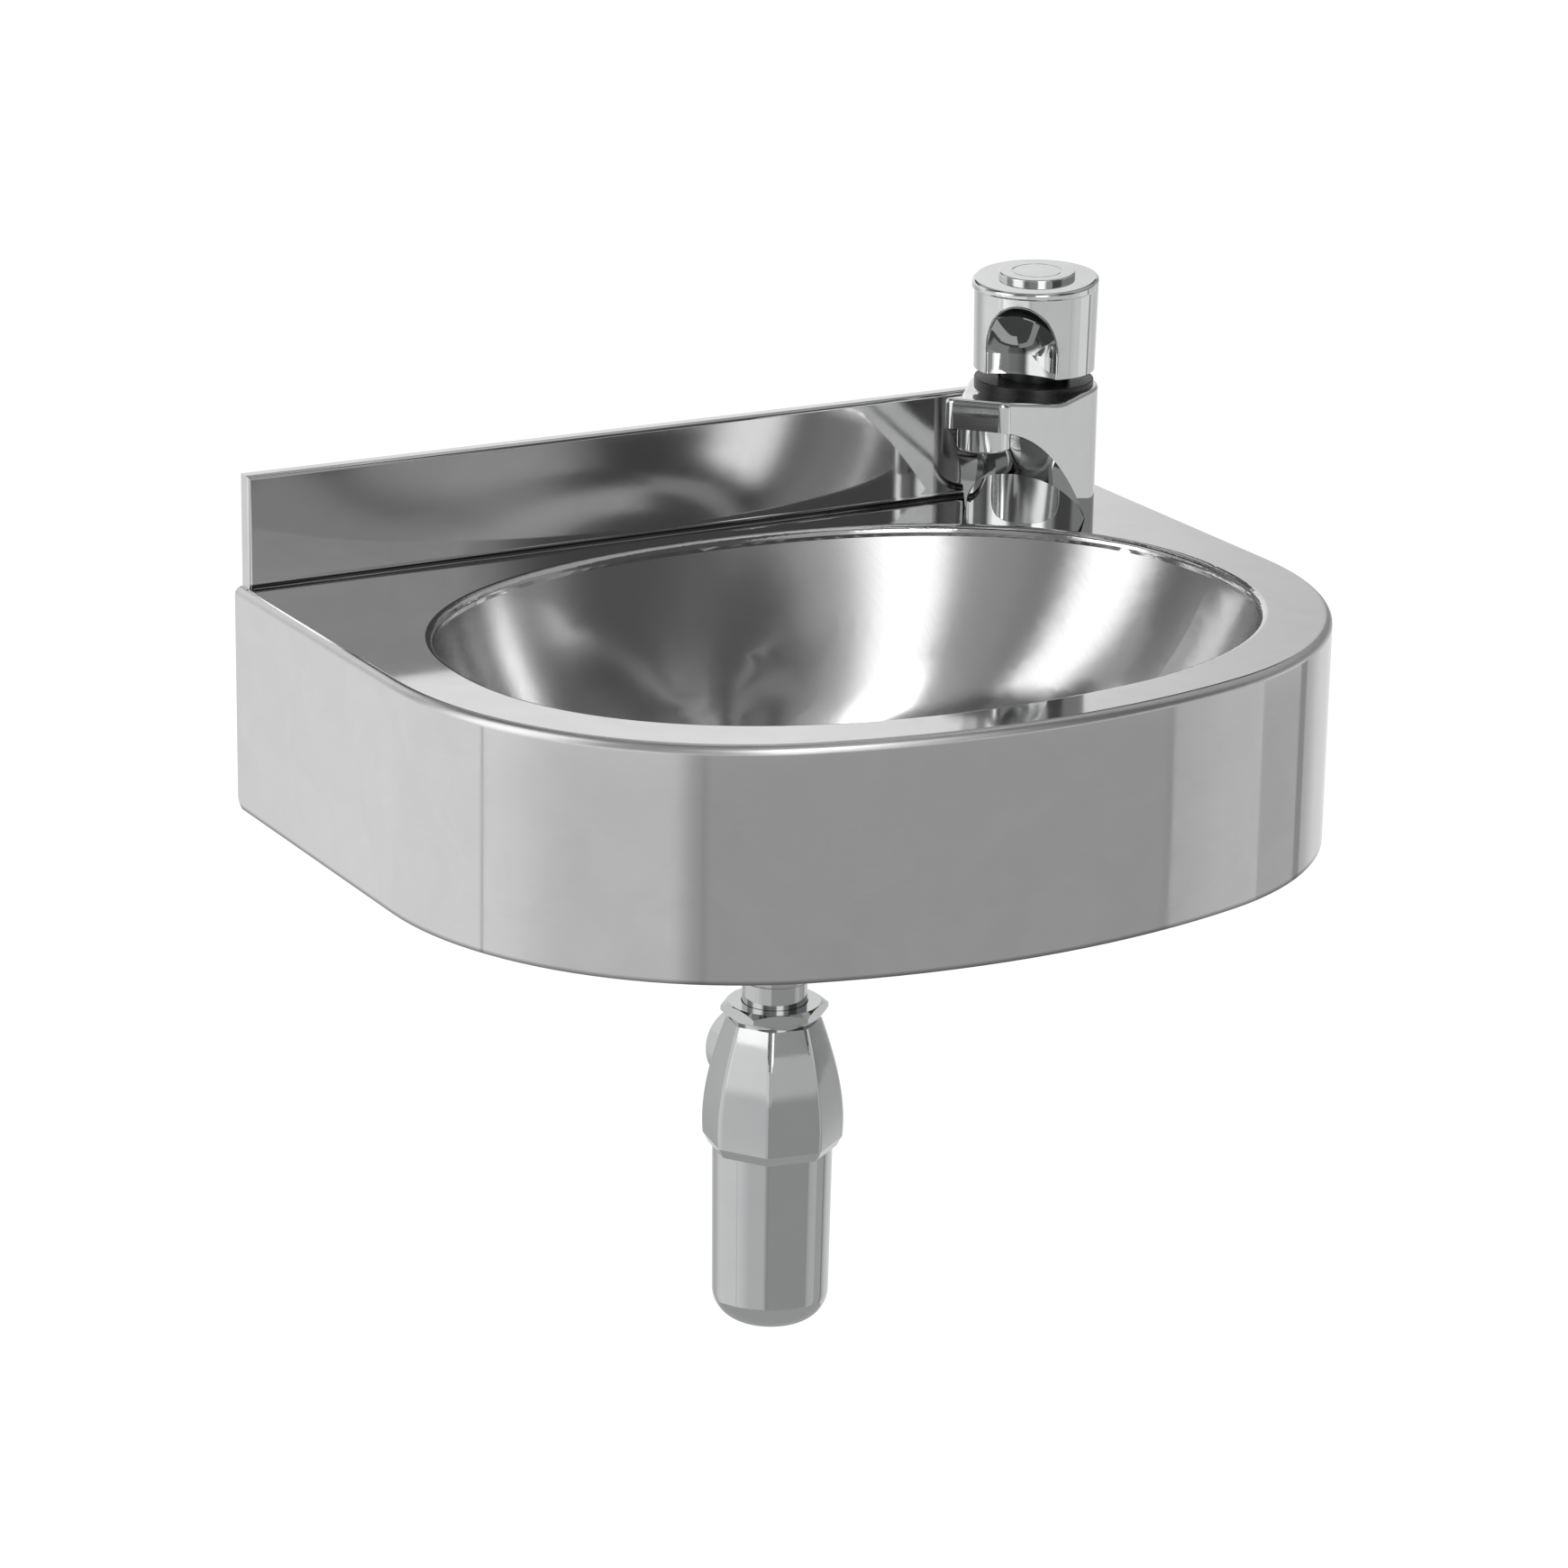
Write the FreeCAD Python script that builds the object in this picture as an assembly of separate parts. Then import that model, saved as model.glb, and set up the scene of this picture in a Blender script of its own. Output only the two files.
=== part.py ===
import FreeCAD, Part

import math
import os

from FreeCAD import Vector

# Stainless steel washbasin with a self-closing mixing tap and a bottle trap.
# Millimetres. The wall is the plane Y = 0 and the basin stands out to -Y. Sizes count Z from the deck.

# Basin pressing
overall_width = 470.0
overall_depth = 352.0
apron_height = 109.0
sheet = 1.2
corner_radius = 171.0
front_radius = 404.0
edge_radius = 4.0
hem_width = 10.0
rear_corner_radius = 6.0

# Bowl
side_deck = 35.5
front_deck = 30.0
rear_deck = 26.0
rim_exponent = 2.2
rim_radius = 3.5
rim_drop = 5.5
bowl_depth = 120.0
bowl_draft = 18.0
bowl_sections = 8
outline_points = 32
seat_radius = 38.0
drain_distance = 107.0
drain_hole_radius = 22.5

# Upstand
upstand_height = 54.5
upstand_thickness = 7.0
upstand_fold_radius = 2.0
upstand_root_radius = 3.0

# Wall fixing
rail_thickness = 2.0
rail_height = 92.0
bolt_spacing = 280.0
bolt_hole_radius = 5.5
bolt_drop = 62.0
gusset_thickness = 2.0
gusset_reach = 105.0
gusset_drop = 84.0
gusset_nose = 12.0
gusset_inset = 20.0

# Tap body, in its own frame: axis on Z, spout along +X
tap_inset = 57.5
tap_setback = 43.0
spout_angle = 223.0
tap_hole_radius = 17.5
body_radius = 32.0
body_height = 65.0
spout_reach = 105.0
spout_tip_width = 31.0
spout_tip_height = 15.0
spout_rise = 12.9
spout_fold_gap = 8.0
spout_fold_radius = 80.0
spout_tip_radius = 5.0
spout_edge_radius = 2.0
arch_foot = 9.0
arch_overlap = 2.0
arch_sagitta = 10.0
channel_radius = 5.0
channel_start = 46.0

# Aerator
aerator_radius = 13.0
aerator_wall = 2.5
aerator_edge_radius = 1.0
aerator_margin = 15.5
aerator_drop = 12.0
aerator_socket_depth = 7.0
aerator_gasket_thickness = 1.0
aerator_gasket_width = 4.5
aerator_insert_height = 9.0
aerator_insert_recess = 1.5
aerator_hole_radius = 1.5
aerator_ring_radius = 6.0
aerator_ring_count = 8

# Press and turn head
collar_radius = 29.6
collar_height = 3.0
collar_edge_radius = 0.6
press_travel = 4.5
press_gap = 0.5
head_radius = 30.7
head_foot_radius = 30.0
head_height = 46.0
head_tilt = 3.0
head_roof = 21.0
head_bore_radius = 16.5
lip_shift = 4.5
lip_thickness = 5.5
recess_radius = 34.0
recess_depth = 12.0
recess_top_gap = 10.0
recess_edge_radius = 1.5
lip_edge_radius = 1.0
head_edge_radius = 1.5
disc_radius = 19.0
disc_height = 2.4
disc_edge_radius = 0.8
spigot_length = 2.0
mark_radius = 12.5
mark_width = 0.8
mark_depth = 0.3
screw_radius = 2.5
screw_head_radius = 5.0
screw_head_height = 4.0
screw_head_depth = 4.0
screw_length = 18.0

# Cartridge and spindle
cartridge_radius = 20.0
cartridge_floor = 18.0
cartridge_nut_height = 8.0
neck_radius = 12.0
neck_rise = 13.0
spindle_radius = 5.0
spindle_depth = 34.0
spindle_flange_radius = 10.0
spindle_flange_height = 4.0
spindle_well = 8.0
seal_section = 1.2
seal_depth = 4.0
sleeve_height = 15.0
key_width = 4.0
key_height = 1.5
spring_wire = 0.8
spring_turns = 5
spring_radius = 8.0

# Tap fixing under the deck
shank_radius = 16.0
shank_wall = 4.0
shank_length = 48.0
shank_engagement = 12.0
gasket_groove_radius = 20.0
gasket_groove_width = 6.0
gasket_thickness = 1.5
washer_radius = 26.0
rubber_thickness = 2.5
washer_thickness = 2.0
shank_nut_flats = 46.0
shank_nut_height = 9.0
inlet_block_height = 14.0
inlet_hole_radius = 4.6
inlet_spacing = 11.2

# Waste
grid_radius = 32.0
grid_thickness = 2.0
grid_edge_radius = 1.0
grid_hole_radius = 2.6
grid_ring_radii = (10.0, 17.0)
grid_ring_counts = (6, 12)
waste_gasket_inner = 24.0
waste_gasket_top_thickness = 1.0
waste_gasket_bottom_thickness = 2.0
waste_flange_thickness = 4.0
waste_tail_radius = 20.9
waste_tail_wall = 3.5
waste_tail_length = 44.0
waste_boss_radius = 6.0
waste_boss_height = 8.0
waste_boss_depth = 22.0
waste_arm_width = 3.0
waste_screw_radius = 3.0
waste_screw_head_radius = 5.5

# Tail pipe
pipe_radius = 16.0
pipe_wall = 1.0
pipe_flange_thickness = 1.5
pipe_bead_radius = 17.4
pipe_bead_height = 5.0
pipe_bead_edge = 1.0
pipe_bead_gap = 11.3
pipe_foot_gap = 34.5
tail_seal_thickness = 1.5
tail_nut_flats = 50.0
tail_nut_engagement = 12.0
tail_nut_shoulder = 4.0

# Bottle trap
trap_drop = 90.8
trap_nut_height = 6.4
trap_nut_flats = 46.0
trap_nut_turn = 38.5
trap_nut_shoulder = 2.0
trap_seal_height = 1.5
trap_neck_radius = 21.0
trap_neck_gap = 2.3
bell_sides = 8
bell_turn = 12.5
bell_corner_radius = 4.0
bell_top_radius = 23.7
bell_upper_radius = 30.0
bell_lower_radius = 34.0
bell_skirt_radius = 34.7
bell_upper_drop = 20.0
bell_lower_drop = 39.0
bell_skirt_drop = 61.0
bell_height = 66.0
bell_foot_radius = 32.0
bell_roof = 15.0
bell_cavity_radius = 20.5
cup_radius = 29.6
cup_foot_radius = 28.6
cup_wall = 1.6
cup_length = 91.0
cup_bottom_radius = 15.0
cup_thread_radius = 29.0
cup_thread_height = 17.0
cup_seal_thickness = 2.0
outlet_drop = 24.0
outlet_radius = 20.5
outlet_reach = 33.0
outlet_edge_radius = 1.5
outlet_seal_radius = 18.5
outlet_seal_length = 4.0
outlet_bush_length = 5.0
outlet_passage_radius = 17.0
outlet_clearance = 0.2

# Hexagon nuts
nut_face_margin = 0.4
nut_chamfer_angle = 28.0

# Clearances
thread_clearance = 0.1
running_clearance = 0.06
pass_clearance = 0.4
seat_clearance = 0.1

# Levels and places that follow from the sizes above
up = Vector(0, 0, 1)
half_width = overall_width / 2
flat_half_width = half_width - edge_radius
rim_half_width = half_width - side_deck
rim_half_depth = (overall_depth - rear_deck - front_deck) / 2
rim_centre_y = -rear_deck - rim_half_depth
front_centre_y = front_radius - overall_depth
corner_x = half_width - corner_radius
corner_y = front_centre_y - math.sqrt((front_radius - corner_radius) ** 2 - corner_x ** 2)
corner_angle = math.atan2(corner_y - front_centre_y, corner_x)
deck_underside = -sheet
tap_place = Vector(half_width - tap_inset, -tap_setback, 0)
spout_fold = body_radius + spout_fold_gap
tip_top = body_height + (spout_reach - spout_fold) * math.tan(math.radians(spout_rise))
tip_bottom = tip_top - spout_tip_height
tip_reach = spout_reach - spout_tip_radius
aerator_x = spout_reach - aerator_margin
aerator_top = tip_bottom + aerator_socket_depth - aerator_gasket_thickness
aerator_foot = tip_bottom - aerator_drop
collar_top = body_height + collar_height
head_bottom = collar_top + press_travel + press_gap
head_top = head_bottom + head_height
head_ceiling = head_top - head_roof
screw_seat = head_top - screw_head_depth - screw_head_height
nut_bottom = body_height - cartridge_nut_height
neck_top = body_height + neck_rise
spindle_shoulder = head_ceiling - spindle_flange_height
sleeve_bottom = collar_top + seat_clearance
drain = Vector(0, -drain_distance, 0)
bowl_floor = -bowl_depth
bowl_underside = bowl_floor - sheet
grid_bottom = bowl_floor + waste_gasket_top_thickness
grid_top = grid_bottom + grid_thickness
waste_top = bowl_underside - waste_gasket_bottom_thickness
waste_foot = waste_top - waste_tail_length
flange_top = waste_foot - tail_seal_thickness
flange_bottom = flange_top - pipe_flange_thickness
trap_nut_top = bowl_floor - trap_drop
pipe_bead_level = trap_nut_top + pipe_bead_gap
trap_nut_bottom = trap_nut_top - trap_nut_height
trap_seal_top = trap_nut_top - trap_nut_shoulder
neck_level = trap_seal_top - trap_seal_height
bell_top = trap_nut_bottom - trap_neck_gap
bell_foot = bell_top - bell_height
cup_bottom = bell_foot - cup_length
pipe_foot = cup_bottom + pipe_foot_gap
cup_seal_level = bell_foot + cup_thread_height
outlet_level = bell_top - outlet_drop
outlet_bore_radius = pipe_radius + outlet_clearance
outlet_bush_start = outlet_reach - outlet_bush_length
outlet_seal_start = outlet_bush_start - outlet_seal_length


def cylinder(radius, bottom, top, x=0.0, y=0.0):
    return Part.makeCylinder(radius, top - bottom, Vector(x, y, bottom))


def ring(outer, inner, bottom, top):
    return cylinder(outer, bottom, top).cut(cylinder(inner, bottom, top))


def prism(wire, bottom, top):
    face = Part.Face(wire)
    face.translate(up * bottom)
    return face.extrude(up * (top - bottom))


def revolved(points):
    profile = Part.makePolygon([Vector(r, 0, z) for r, z in points + points[:1]])
    return Part.Face(profile).revolve(Vector(0, 0, 0), up, 360)


def polygon_wire(sides, radius, level, turn=0.0):
    angles = [math.radians(turn + 360.0 * i / sides) for i in range(sides + 1)]
    return Part.makePolygon([Vector(radius * math.cos(a), radius * math.sin(a), level) for a in angles])


def rounded_wire(sides, radius, level, turn, corner_radius):
    # Polygon with a round at each corner.
    half = math.pi / sides
    along = corner_radius * math.tan(half)
    inward = corner_radius / math.cos(half) - corner_radius
    corners = [v.Point for v in polygon_wire(sides, radius, level, turn).OrderedVertexes]
    edges = []
    for i in range(sides):
        before, corner, after = corners[i - 1], corners[i], corners[(i + 1) % sides]
        start = corner + (before - corner).normalize() * along
        end = corner + (after - corner).normalize() * along
        middle = corner + (up * level - corner).normalize() * inward
        leave = after + (corner - after).normalize() * along
        edges += [Part.Arc(start, middle, end).toShape(), Part.makeLine(end, leave)]
    return Part.Wire(edges)


def hexagon(flats, bottom, top, turn=0.0):
    # Nut blank with the corners of both faces turned off.
    circumradius = flats / 2 / math.cos(math.pi / 6)
    blank = prism(polygon_wire(6, circumradius, 0, turn), bottom, top)
    face = flats / 2 - nut_face_margin
    fall = (circumradius - face) * math.tan(math.radians(nut_chamfer_angle))
    turned = revolved([(0, bottom), (face, bottom), (circumradius, bottom + fall), (circumradius, top - fall),
                       (face, top), (0, top)])
    return blank.common(turned)


def around(count, radius):
    for i in range(count):
        angle = 2 * math.pi * i / count
        yield radius * math.cos(angle), radius * math.sin(angle)


def edges_at(shape, level, reach=0.01):
    return [e for e in shape.Edges if all(abs(v.Z - level) < reach for v in e.Vertexes)
            and abs(e.CenterOfMass.z - level) < reach]


def on_drain(shape):
    shape.translate(drain)
    return shape


def on_tap(shape):
    shape.rotate(Vector(0, 0, 0), up, spout_angle)
    shape.translate(tap_place)
    return shape


def save(name, shape):
    # The finished part has its origin on the wall, midway between the two fixing holes.
    shape = shape.removeSplitter()
    shape.translate(up * bolt_drop)
    shape.exportStep("parts/" + name + ".step")
    print(name, len(shape.Solids), round(shape.Volume), "" if shape.isValid() else "not valid")


# Basin

def basin_outline(inset, rear):
    # D-shaped plan: straight back and sides, corner arcs, and a slow front arc, all tangent.
    side = half_width - inset
    corner = Vector(corner_x, corner_y, 0)
    small = corner_radius - inset
    large = front_radius - inset
    meet = Vector(large * math.cos(corner_angle), front_centre_y + large * math.sin(corner_angle), 0)
    middle = corner + Vector(math.cos(corner_angle / 2), math.sin(corner_angle / 2), 0) * small
    front = Vector(0, inset - overall_depth, 0)

    def mirrored(point):
        return Vector(-point.x, point.y, 0)

    back_right = Vector(side, rear, 0)
    side_right = Vector(side, corner_y, 0)
    edges = [
        Part.makeLine(mirrored(back_right), mirrored(side_right)),
        Part.Arc(mirrored(side_right), mirrored(middle), mirrored(meet)).toShape(),
        Part.Arc(mirrored(meet), front, meet).toShape(),
        Part.Arc(meet, middle, side_right).toShape(),
        Part.makeLine(side_right, back_right),
        Part.makeLine(back_right, mirrored(back_right)),
    ]
    return Part.Wire(edges)


def rim_point(angle, growth):
    # Superellipse a little fuller than an ellipse.
    def power(value):
        return math.copysign(abs(value) ** (2 / rim_exponent), value)

    x = (rim_half_width + growth) * power(math.cos(angle))
    y = (rim_half_depth + growth) * power(math.sin(angle))
    return Vector(x, rim_centre_y + y, 0)


def closed_spline(points):
    curve = Part.BSplineCurve()
    curve.interpolate(Points=points, PeriodicFlag=True)
    return Part.Wire([curve.toShape()])


def outline_angles():
    return [2 * math.pi * i / outline_points for i in range(outline_points)]


def rim_outline(growth):
    return closed_spline([rim_point(angle, growth) for angle in outline_angles()])


def bowl_section(step, level, run, growth):
    # From the rim outline (step 0) the wall leans in by its draft and bends to the round waste seat (step 1).
    points = []
    for angle in outline_angles():
        rim = rim_point(angle, growth)
        inward = drain + Vector(math.cos(angle), math.sin(angle), 0) * (seat_radius + growth) - rim
        share = 2 * step * (1 - step) * run / inward.Length + step ** 2
        points.append(rim + inward * share + up * level)
    return closed_spline(points)


def bowl_solid(growth):
    depth = bowl_depth - rim_drop + growth
    run = depth * math.tan(math.radians(bowl_draft))
    wires = []
    for i in range(bowl_sections + 1):
        step = i / bowl_sections
        fall = 1 - (1 - step) ** 2
        wires.append(bowl_section(step, -rim_drop - depth * fall, run, growth))
    return Part.makeLoft(wires, True, False)


def bowl():
    shell = bowl_solid(sheet).cut(bowl_solid(0.0))
    return shell.cut(cylinder(drain_hole_radius, bowl_underside, bowl_floor, drain.x, drain.y))


def roll_edges(solid, outline_fillet, rim_fillet):
    # The outline rolls down to the apron and the opening rolls down to the bowl; the back stays square.
    level = solid.BoundBox.ZMax
    rear = solid.BoundBox.YMax
    opening = [e for e in edges_at(solid, level) if len(e.Vertexes) == 1]
    solid = solid.makeFillet(rim_fillet, opening)
    outline = [e for e in edges_at(solid, level)
               if len(e.Vertexes) == 2 and rear - e.CenterOfMass.y > sheet]
    return solid.makeFillet(outline_fillet, outline)


def basin_pressing():
    beyond = 2 * sheet
    outer = prism(basin_outline(0, 0), -apron_height, 0).cut(prism(rim_outline(0), -apron_height, 0))
    inner = prism(basin_outline(sheet, beyond), sheet - apron_height, deck_underside)
    inner = inner.cut(prism(rim_outline(sheet), sheet - apron_height, deck_underside))
    outer = roll_edges(outer, edge_radius, rim_radius)
    inner = roll_edges(inner, edge_radius - sheet, rim_radius - sheet)
    mouth = prism(basin_outline(sheet + hem_width, beyond), -apron_height, sheet - apron_height)
    below_lip = prism(rim_outline(beyond), -apron_height, -rim_drop)
    shell = outer.cut(inner).cut(mouth).cut(below_lip)
    shell = shell.cut(cylinder(tap_hole_radius, deck_underside, 0, tap_place.x, tap_place.y))
    return shell.cut(rear_corner_waste())


def rear_corner_waste():
    # What is left outside a quarter round at the lower rear corners of the apron.
    level = rear_corner_radius - apron_height
    block = Part.makeBox(overall_width, rear_corner_radius, rear_corner_radius,
                         Vector(-half_width, -rear_corner_radius, -apron_height))
    round_part = Part.makeCylinder(rear_corner_radius, overall_width,
                                   Vector(-half_width, -rear_corner_radius, level), Vector(1, 0, 0))
    return block.cut(round_part)


def upstand():
    # Front sheet, top fold and end returns as one folded piece, open to the wall and to the deck.
    outer = Part.makeBox(2 * flat_half_width, upstand_thickness, upstand_height,
                         Vector(-flat_half_width, -upstand_thickness, 0))
    front = [e for e in outer.Edges if abs(e.CenterOfMass.y + upstand_thickness) < seat_clearance
             and e.CenterOfMass.z > seat_clearance]
    outer = outer.makeFillet(upstand_fold_radius, front)
    inner = Part.makeBox(2 * (flat_half_width - sheet), upstand_thickness - sheet, upstand_height - sheet,
                         Vector(sheet - flat_half_width, sheet - upstand_thickness, 0))
    front = [e for e in inner.Edges if abs(e.CenterOfMass.y + upstand_thickness - sheet) < seat_clearance
             and e.CenterOfMass.z > seat_clearance]
    inner = inner.makeFillet(upstand_fold_radius - sheet, front)
    root = upstand_root_radius
    length = 2 * (flat_half_width - upstand_fold_radius)
    cove = Part.makeBox(length, root, root, Vector(-length / 2, -upstand_thickness - root, 0))
    hollow = Part.makeCylinder(root, length, Vector(-length / 2, -upstand_thickness - root, root), Vector(1, 0, 0))
    return outer.cut(inner).fuse(cove.cut(hollow))


def rear_rail():
    width = 2 * (half_width - sheet)
    plate = Part.makeBox(width, rail_thickness, rail_height,
                         Vector(-width / 2, -rail_thickness, deck_underside - rail_height))
    corners = [e for e in plate.Edges if e.BoundBox.YLength > rail_thickness / 2
               and abs(e.CenterOfMass.z - deck_underside) < seat_clearance]
    plate = plate.makeFillet(edge_radius - sheet, corners)
    for side in (-1, 1):
        hole = Part.makeCylinder(bolt_hole_radius, rail_thickness,
                                 Vector(side * bolt_spacing / 2, -rail_thickness, -bolt_drop), Vector(0, 1, 0))
        plate = plate.cut(hole)
    return plate


def gusset(side):
    # Triangular plate that stands against the rail and under the deck.
    rear = -rail_thickness
    front = rear - gusset_reach
    foot = deck_underside - gusset_drop
    corners = [(rear, deck_underside), (front, deck_underside), (front, deck_underside - gusset_nose),
               (rear - gusset_nose, foot), (rear, foot)]
    left = side * (half_width - gusset_inset) - gusset_thickness / 2
    points = [Vector(left, y, z) for y, z in corners + corners[:1]]
    return Part.Face(Part.makePolygon(points)).extrude(Vector(gusset_thickness, 0, 0))


# Tap

def body_plan():
    # Round column and narrow tip joined by straight tangent sides.
    half = spout_tip_width / 2
    bearing = math.atan2(half, spout_reach) + math.acos(body_radius / math.hypot(spout_reach, half))
    touch = Vector(body_radius * math.cos(bearing), body_radius * math.sin(bearing), 0)
    back = Vector(-body_radius, 0, 0)
    tip = Vector(spout_reach, half, 0)

    def mirrored(point):
        return Vector(point.x, -point.y, 0)

    return Part.Wire([
        Part.Arc(touch, back, mirrored(touch)).toShape(),
        Part.makeLine(mirrored(touch), mirrored(tip)),
        Part.makeLine(mirrored(tip), tip),
        Part.makeLine(tip, touch),
    ])


def spout_side():
    # Side view: flat over the column, then a slow bend to the rising top line, the flat tip, and the arch below.
    rise = math.radians(spout_rise)
    foot = Vector(arch_foot, 0, 0)
    tip_low = Vector(spout_reach, 0, tip_bottom)
    tip_high = Vector(spout_reach, 0, tip_top)
    chord = tip_low - foot
    arch_top = (foot + tip_low) * 0.5 + Vector(-chord.z, 0, chord.x).normalize() * arch_sagitta
    fold_start = Vector(spout_fold - spout_fold_radius * math.tan(rise / 2), 0, body_height)
    centre = fold_start + up * spout_fold_radius
    fold_middle = centre + Vector(math.sin(rise / 2), 0, -math.cos(rise / 2)) * spout_fold_radius
    fold_end = centre + Vector(math.sin(rise), 0, -math.cos(rise)) * spout_fold_radius
    back_high = Vector(-body_radius, 0, body_height)
    back_low = Vector(-body_radius, 0, 0)
    return Part.Wire([
        Part.Arc(foot, arch_top, tip_low).toShape(),
        Part.makeLine(tip_low, tip_high),
        Part.makeLine(tip_high, fold_end),
        Part.Arc(fold_end, fold_middle, fold_start).toShape(),
        Part.makeLine(fold_start, back_high),
        Part.makeLine(back_high, back_low),
        Part.makeLine(back_low, foot),
    ])


def middle_of(edge):
    return edge.valueAt((edge.FirstParameter + edge.LastParameter) / 2)


def body_blank():
    # Column and spout as one casting, with the column filled in again below the arch.
    side = Part.Face(spout_side())
    side.translate(Vector(0, -body_radius, 0))
    blank = prism(body_plan(), 0, tip_top).common(side.extrude(Vector(0, 2 * body_radius, 0)))
    corners = [e for e in blank.Edges if abs(e.BoundBox.XMin - spout_reach) < seat_clearance
               and e.BoundBox.ZLength > spout_tip_height / 2]
    blank = blank.makeFillet(spout_tip_radius, corners).removeSplitter()
    top = [e for e in blank.Edges if e.BoundBox.ZMin > body_height - seat_clearance
           and e.BoundBox.ZLength < tip_top - tip_bottom
           and (abs(middle_of(e).y) > seat_clearance or not -body_radius / 2 < middle_of(e).x < tip_reach)]
    blank = blank.makeFillet(spout_edge_radius, top)
    root = arch_foot - arch_overlap
    front = Part.makeBox(body_radius, 2 * body_radius, nut_bottom, Vector(root, -body_radius, 0))
    return blank.fuse(cylinder(body_radius, 0, nut_bottom).common(front))


def tap_body():
    body = body_blank()
    body = body.cut(cylinder(cartridge_radius, cartridge_floor, body_height))
    body = body.cut(cylinder(shank_radius, 0, shank_engagement))
    body = body.cut(ring(gasket_groove_radius + gasket_groove_width, gasket_groove_radius, 0, gasket_thickness))
    start = Vector(0, 0, channel_start)
    end = Vector(aerator_x, 0, tip_bottom + channel_radius / 2)
    body = body.cut(Part.makeCylinder(channel_radius, (end - start).Length, start, end - start))
    socket_top = tip_bottom + aerator_socket_depth
    return body.cut(cylinder(aerator_radius, aerator_foot, socket_top, aerator_x))


def aerator_housing():
    outer = aerator_radius - thread_clearance
    inner = aerator_radius - aerator_wall
    tube = cylinder(outer, aerator_foot, aerator_top)
    tube = tube.makeFillet(aerator_edge_radius, edges_at(tube, aerator_foot))
    tube = tube.cut(cylinder(inner, aerator_foot, aerator_top))
    tube.translate(Vector(aerator_x, 0, 0))
    return tube


def aerator_insert():
    radius = aerator_radius - aerator_wall - thread_clearance
    bottom = aerator_foot + aerator_insert_recess
    top = bottom + aerator_insert_height
    insert = cylinder(radius, bottom, top)
    for x, y in around(aerator_ring_count, aerator_ring_radius):
        insert = insert.cut(cylinder(aerator_hole_radius, bottom, top, x, y))
    insert = insert.cut(cylinder(aerator_hole_radius, bottom, top))
    insert.translate(Vector(aerator_x, 0, 0))
    return insert


def aerator_gasket():
    outer = aerator_radius - thread_clearance
    gasket = ring(outer, outer - aerator_gasket_width, aerator_top, aerator_top + aerator_gasket_thickness)
    gasket.translate(Vector(aerator_x, 0, 0))
    return gasket


def glide_collar():
    collar = cylinder(collar_radius, body_height, collar_top)
    collar = collar.makeFillet(collar_edge_radius, edges_at(collar, collar_top))
    return collar.cut(cylinder(neck_radius + pass_clearance, body_height, collar_top))


def keys(bottom, top, spare):
    # Bar whose ends are the two keys of the sleeve or, with some to spare, the two slots of the head.
    width = key_width + 2 * spare
    reach = head_bore_radius + key_height + spare
    bar = Part.makeBox(width, 2 * reach, top - bottom, Vector(-width / 2, -reach, bottom))
    return bar.common(cylinder(reach, bottom, top))


def rounded_head(head):
    # Rounds the recess, the lower edge of the lip and the sloping top, in that order.
    lip_level = head_top - lip_thickness
    recess = [e for e in head.Edges if type(e.Curve) is Part.BSplineCurve
              and head_bottom < middle_of(e).z < lip_level]
    head = head.makeFillet(recess_edge_radius, recess)
    lip = [e for e in head.Edges if abs(e.CenterOfMass.z - lip_level) < seat_clearance
           and e.CenterOfMass.x > head_radius / 2
           and abs((middle_of(e) - Vector(lip_shift, 0, lip_level)).Length - head_radius) < seat_clearance]
    head = head.makeFillet(lip_edge_radius, lip)
    tilt = math.radians(head_tilt)
    normal = Vector(math.sin(tilt), 0, math.cos(tilt))
    top = [e for e in head.Edges
           if all(abs((p - up * head_top).dot(normal)) < seat_clearance
                  for p in [v.Point for v in e.Vertexes] + [middle_of(e)])]
    return head.makeFillet(head_edge_radius, top)


def push_head():
    tilt = math.radians(head_tilt)
    rise = (head_radius + lip_shift) * math.tan(tilt)
    taper = revolved([(0, head_bottom), (head_foot_radius, head_bottom), (head_radius, head_top - lip_thickness),
                      (head_radius, head_top + rise), (0, head_top + rise)])
    lip = cylinder(head_radius, head_top - lip_thickness, head_top + rise, lip_shift)
    centre = head_radius + recess_radius - recess_depth
    arch_rise = math.sqrt(recess_radius ** 2 - (centre - head_radius) ** 2)
    arch_level = head_top - recess_top_gap - arch_rise
    recess = cylinder(recess_radius, head_bottom, arch_level, centre)
    recess = recess.fuse(Part.makeSphere(recess_radius, Vector(centre, 0, arch_level)))
    recess = recess.common(cylinder(centre + recess_radius, head_bottom, head_top - lip_thickness))
    head = taper.cut(recess).fuse(lip)
    span = head_radius + lip_shift + rise
    lid = Part.makeBox(2 * span, 2 * span, span, Vector(-span, -span, head_top))
    lid.rotate(Vector(0, 0, head_top), Vector(0, 1, 0), head_tilt)
    head = rounded_head(head.cut(lid).removeSplitter())
    head = head.cut(cylinder(head_bore_radius, head_bottom, head_ceiling))
    head = head.cut(keys(head_bottom, head_ceiling, running_clearance))
    head = head.cut(cylinder(screw_radius, head_ceiling, head_top))
    return head.cut(cylinder(screw_head_radius + pass_clearance, screw_seat, head_top + rise))


def head_disc():
    disc_top = head_top + disc_height
    disc = cylinder(disc_radius, head_top, disc_top)
    disc = disc.makeFillet(disc_edge_radius, edges_at(disc, disc_top))
    disc = disc.cut(ring(mark_radius, mark_radius - mark_width, disc_top - mark_depth, disc_top))
    disc = disc.fuse(cylinder(screw_head_radius, head_top - spigot_length, head_top))
    disc.rotate(Vector(0, 0, head_top), Vector(0, 1, 0), head_tilt)
    return disc


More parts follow.
